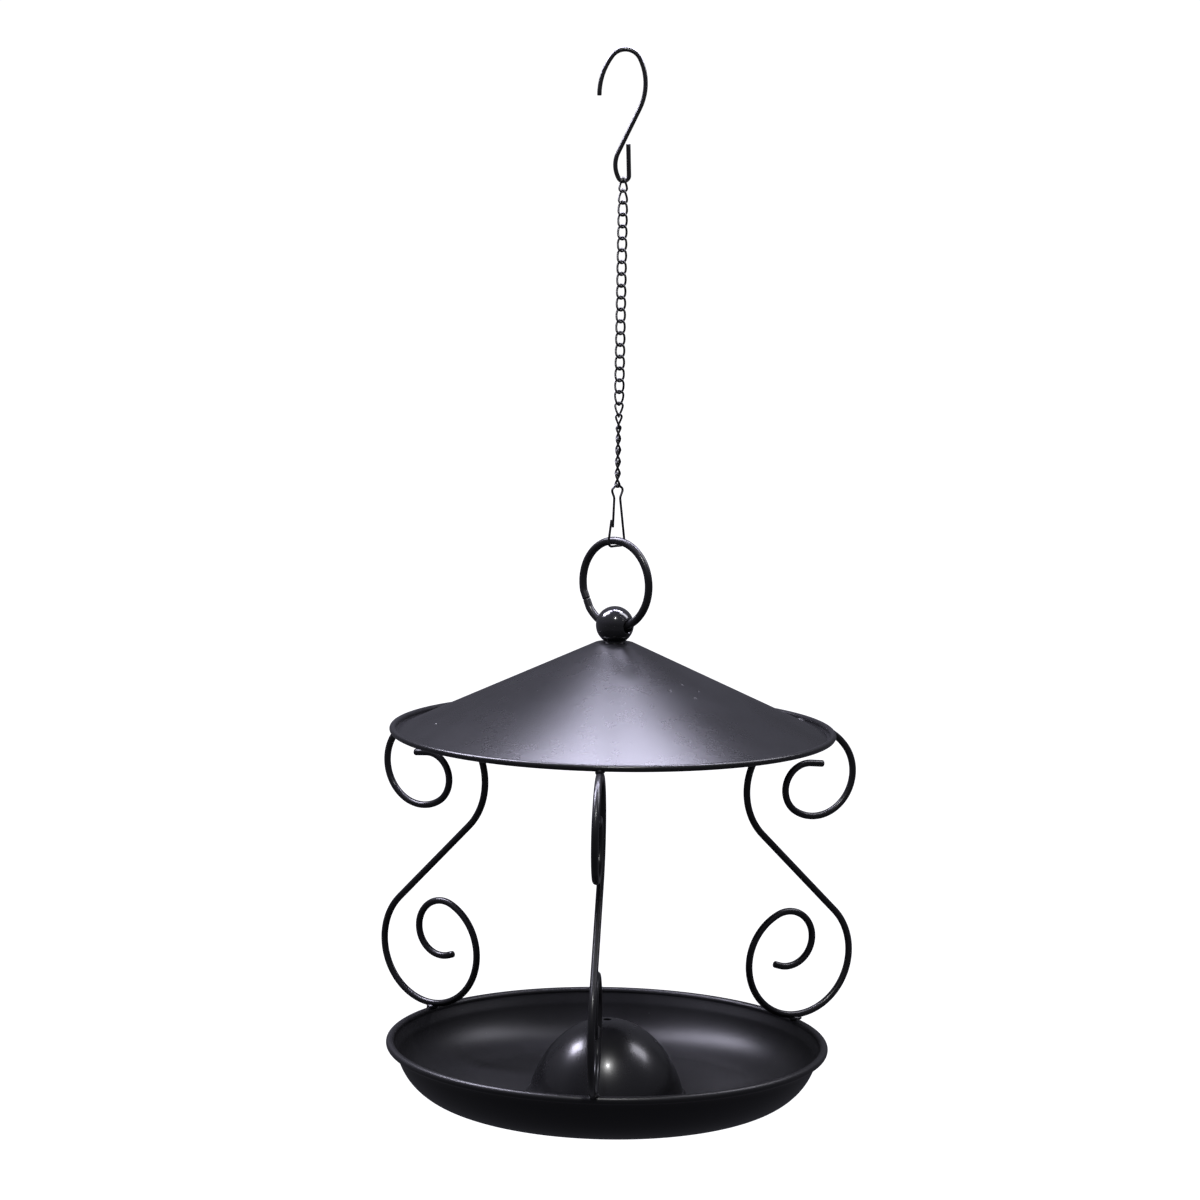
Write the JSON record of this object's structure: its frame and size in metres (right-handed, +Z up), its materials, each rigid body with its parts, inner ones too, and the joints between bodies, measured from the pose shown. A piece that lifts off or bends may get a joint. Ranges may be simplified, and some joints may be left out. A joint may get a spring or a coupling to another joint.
{
  "type": "hanging bird feeder",
  "caption": "Hanging bird feeder: a hook, fine chain, snap clip and ring carry a conical roof on scroll legs over a shallow seed tray with a raised dome.",
  "frame": {"origin": "seat of the hook's crook, the point that rests on top of the bracket bar", "axes": "+Z up along the hanging chain, -Y towards the front leg's side, +X to the feeder's right seen from the front"},
  "size_m": [0.2657, 0.2731, 0.5639],
  "materials": {
    "painted_wire": "satin black enamel",
    "chain_wire": "satin black enamel",
    "painted_sheet": "semi-gloss black enamel",
    "gloss_paint": "gloss black enamel",
    "plated_steel": "zinc plated"
  },
  "bodies": {
    "hook": {"hook": "painted_wire"},
    "link_01": {"chain_link_01": "chain_wire"},
    "link_02": {"chain_link_02": "chain_wire"},
    "link_03": {"chain_link_03": "chain_wire"},
    "link_04": {"chain_link_04": "chain_wire"},
    "link_05": {"chain_link_05": "chain_wire"},
    "link_06": {"chain_link_06": "chain_wire"},
    "link_07": {"chain_link_07": "chain_wire"},
    "link_08": {"chain_link_08": "chain_wire"},
    "link_09": {"chain_link_09": "chain_wire"},
    "link_10": {"chain_link_10": "chain_wire"},
    "link_11": {"chain_link_11": "chain_wire"},
    "link_12": {"chain_link_12": "chain_wire"},
    "link_13": {"chain_link_13": "chain_wire"},
    "link_14": {"chain_link_14": "chain_wire"},
    "link_15": {"chain_link_15": "chain_wire"},
    "link_16": {"chain_link_16": "chain_wire"},
    "link_17": {"chain_link_17": "chain_wire"},
    "link_18": {"chain_link_18": "chain_wire"},
    "link_19": {"chain_link_19": "chain_wire"},
    "link_20": {"chain_link_20": "chain_wire"},
    "link_21": {"chain_link_21": "chain_wire"},
    "link_22": {"chain_link_22": "chain_wire"},
    "link_23": {"chain_link_23": "chain_wire"},
    "link_24": {"chain_link_24": "chain_wire"},
    "link_25": {"chain_link_25": "chain_wire"},
    "link_26": {"chain_link_26": "chain_wire"},
    "clip": {"snap_clip": "chain_wire"},
    "ring": {"hanging_ring": "painted_wire"},
    "feeder": {"ball_finial": "gloss_paint", "finial_screw": "plated_steel", "finial_washer": "plated_steel", "roof": "painted_sheet", "leg_front": "painted_wire", "leg_right": "painted_wire", "leg_left": "painted_wire", "roof_welds": "painted_wire", "tray_welds": "painted_wire", "tray": "painted_sheet", "seed_dome": "gloss_paint", "dome_weld": "gloss_paint"}
  },
  "joints": [
    {"name": "hook_swing", "type": "hinge", "parent": "hook", "child": "link_01", "pos_m": [0, 0, -0.06741], "axis": [1, 0, 0], "range_deg": [-45, 45]},
    {"name": "link_02_swing", "type": "hinge", "parent": "link_01", "child": "link_02", "pos_m": [0, 0, -0.07176], "axis": [0.2022, -0.9793, 0], "range_deg": [-40, 40]},
    {"name": "link_03_swing", "type": "hinge", "parent": "link_02", "child": "link_03", "pos_m": [0, 0, -0.07931], "axis": [0.9793, 0.2022, 0], "range_deg": [-20, 20]},
    {"name": "link_04_swing", "type": "hinge", "parent": "link_03", "child": "link_04", "pos_m": [0, 0, -0.08426], "axis": [-0.7071, 0.7071, 0], "range_deg": [-40, 40]},
    {"name": "link_05_swing", "type": "hinge", "parent": "link_04", "child": "link_05", "pos_m": [0, 0, -0.09181], "axis": [-0.7071, -0.7071, 0], "range_deg": [-45, 45]},
    {"name": "link_06_swing", "type": "hinge", "parent": "link_05", "child": "link_06", "pos_m": [0, 0, -0.09676], "axis": [0.7071, -0.7071, 0], "range_deg": [-45, 45]},
    {"name": "link_07_swing", "type": "hinge", "parent": "link_06", "child": "link_07", "pos_m": [0, 0, -0.10431], "axis": [0.7071, 0.7071, 0], "range_deg": [-45, 45]},
    {"name": "link_08_swing", "type": "hinge", "parent": "link_07", "child": "link_08", "pos_m": [0, 0, -0.10926], "axis": [-0.7071, 0.7071, 0], "range_deg": [-45, 45]},
    {"name": "link_09_swing", "type": "hinge", "parent": "link_08", "child": "link_09", "pos_m": [0, 0, -0.11681], "axis": [-0.7071, -0.7071, 0], "range_deg": [-45, 45]},
    {"name": "link_10_swing", "type": "hinge", "parent": "link_09", "child": "link_10", "pos_m": [0, 0, -0.12176], "axis": [0.7071, -0.7071, 0], "range_deg": [-45, 45]},
    {"name": "link_11_swing", "type": "hinge", "parent": "link_10", "child": "link_11", "pos_m": [0, 0, -0.12931], "axis": [0.7071, 0.7071, 0], "range_deg": [-45, 45]},
    {"name": "link_12_swing", "type": "hinge", "parent": "link_11", "child": "link_12", "pos_m": [0, 0, -0.13426], "axis": [-0.7071, 0.7071, 0], "range_deg": [-45, 45]},
    {"name": "link_13_swing", "type": "hinge", "parent": "link_12", "child": "link_13", "pos_m": [0, 0, -0.14181], "axis": [-0.7071, -0.7071, 0], "range_deg": [-45, 45]},
    {"name": "link_14_swing", "type": "hinge", "parent": "link_13", "child": "link_14", "pos_m": [0, 0, -0.14676], "axis": [0.7071, -0.7071, 0], "range_deg": [-45, 45]},
    {"name": "link_15_swing", "type": "hinge", "parent": "link_14", "child": "link_15", "pos_m": [0, 0, -0.15431], "axis": [0.7071, 0.7071, 0], "range_deg": [-45, 45]},
    {"name": "link_16_swing", "type": "hinge", "parent": "link_15", "child": "link_16", "pos_m": [0, 0, -0.15926], "axis": [-0.7071, 0.7071, 0], "range_deg": [-45, 45]},
    {"name": "link_17_swing", "type": "hinge", "parent": "link_16", "child": "link_17", "pos_m": [0, 0, -0.16681], "axis": [-0.7071, -0.7071, 0], "range_deg": [-45, 45]},
    {"name": "link_18_swing", "type": "hinge", "parent": "link_17", "child": "link_18", "pos_m": [0, 0, -0.17176], "axis": [0.7715, -0.6363, 0], "range_deg": [-45, 45]},
    {"name": "link_19_swing", "type": "hinge", "parent": "link_18", "child": "link_19", "pos_m": [0, 0, -0.17931], "axis": [0.6363, 0.7715, 0], "range_deg": [-30, 30]},
    {"name": "link_20_swing", "type": "hinge", "parent": "link_19", "child": "link_20", "pos_m": [0, 0, -0.18426], "axis": [-0.9997, -0.0263, 0], "range_deg": [-15, 15]},
    {"name": "link_21_swing", "type": "hinge", "parent": "link_20", "child": "link_21", "pos_m": [0, 0, -0.19181], "axis": [0.0263, -0.9997, 0], "range_deg": [-15, 15]},
    {"name": "link_22_swing", "type": "hinge", "parent": "link_21", "child": "link_22", "pos_m": [0, 0, -0.19676], "axis": [0.7312, 0.6821, 0], "range_deg": [-30, 30]},
    {"name": "link_23_swing", "type": "hinge", "parent": "link_22", "child": "link_23", "pos_m": [0, 0, -0.20431], "axis": [-0.6821, 0.7312, 0], "range_deg": [-45, 45]},
    {"name": "link_24_swing", "type": "hinge", "parent": "link_23", "child": "link_24", "pos_m": [0, 0, -0.20926], "axis": [-0.6561, -0.7547, 0], "range_deg": [-45, 45]},
    {"name": "link_25_swing", "type": "hinge", "parent": "link_24", "child": "link_25", "pos_m": [0, 0, -0.21681], "axis": [0.7547, -0.6561, 0], "range_deg": [-45, 45]},
    {"name": "link_26_swing", "type": "hinge", "parent": "link_25", "child": "link_26", "pos_m": [0, 0, -0.22176], "axis": [0.6561, 0.7547, 0], "range_deg": [-45, 45]},
    {"name": "clip_swing", "type": "hinge", "parent": "link_26", "child": "clip", "pos_m": [0, 0, -0.22931], "axis": [0.7547, -0.6561, 0], "range_deg": [-60, 60]},
    {"name": "ring_swing", "type": "hinge", "parent": "clip", "child": "ring", "pos_m": [0, 0, -0.25811], "axis": [-0.7547, 0.6561, 0], "range_deg": [-80, 80]},
    {"name": "feeder_swing", "type": "hinge", "parent": "ring", "child": "feeder", "pos_m": [0, 0, -0.30353], "axis": [0.7547, -0.6561, 0], "range_deg": [-110, 110]}
  ]
}
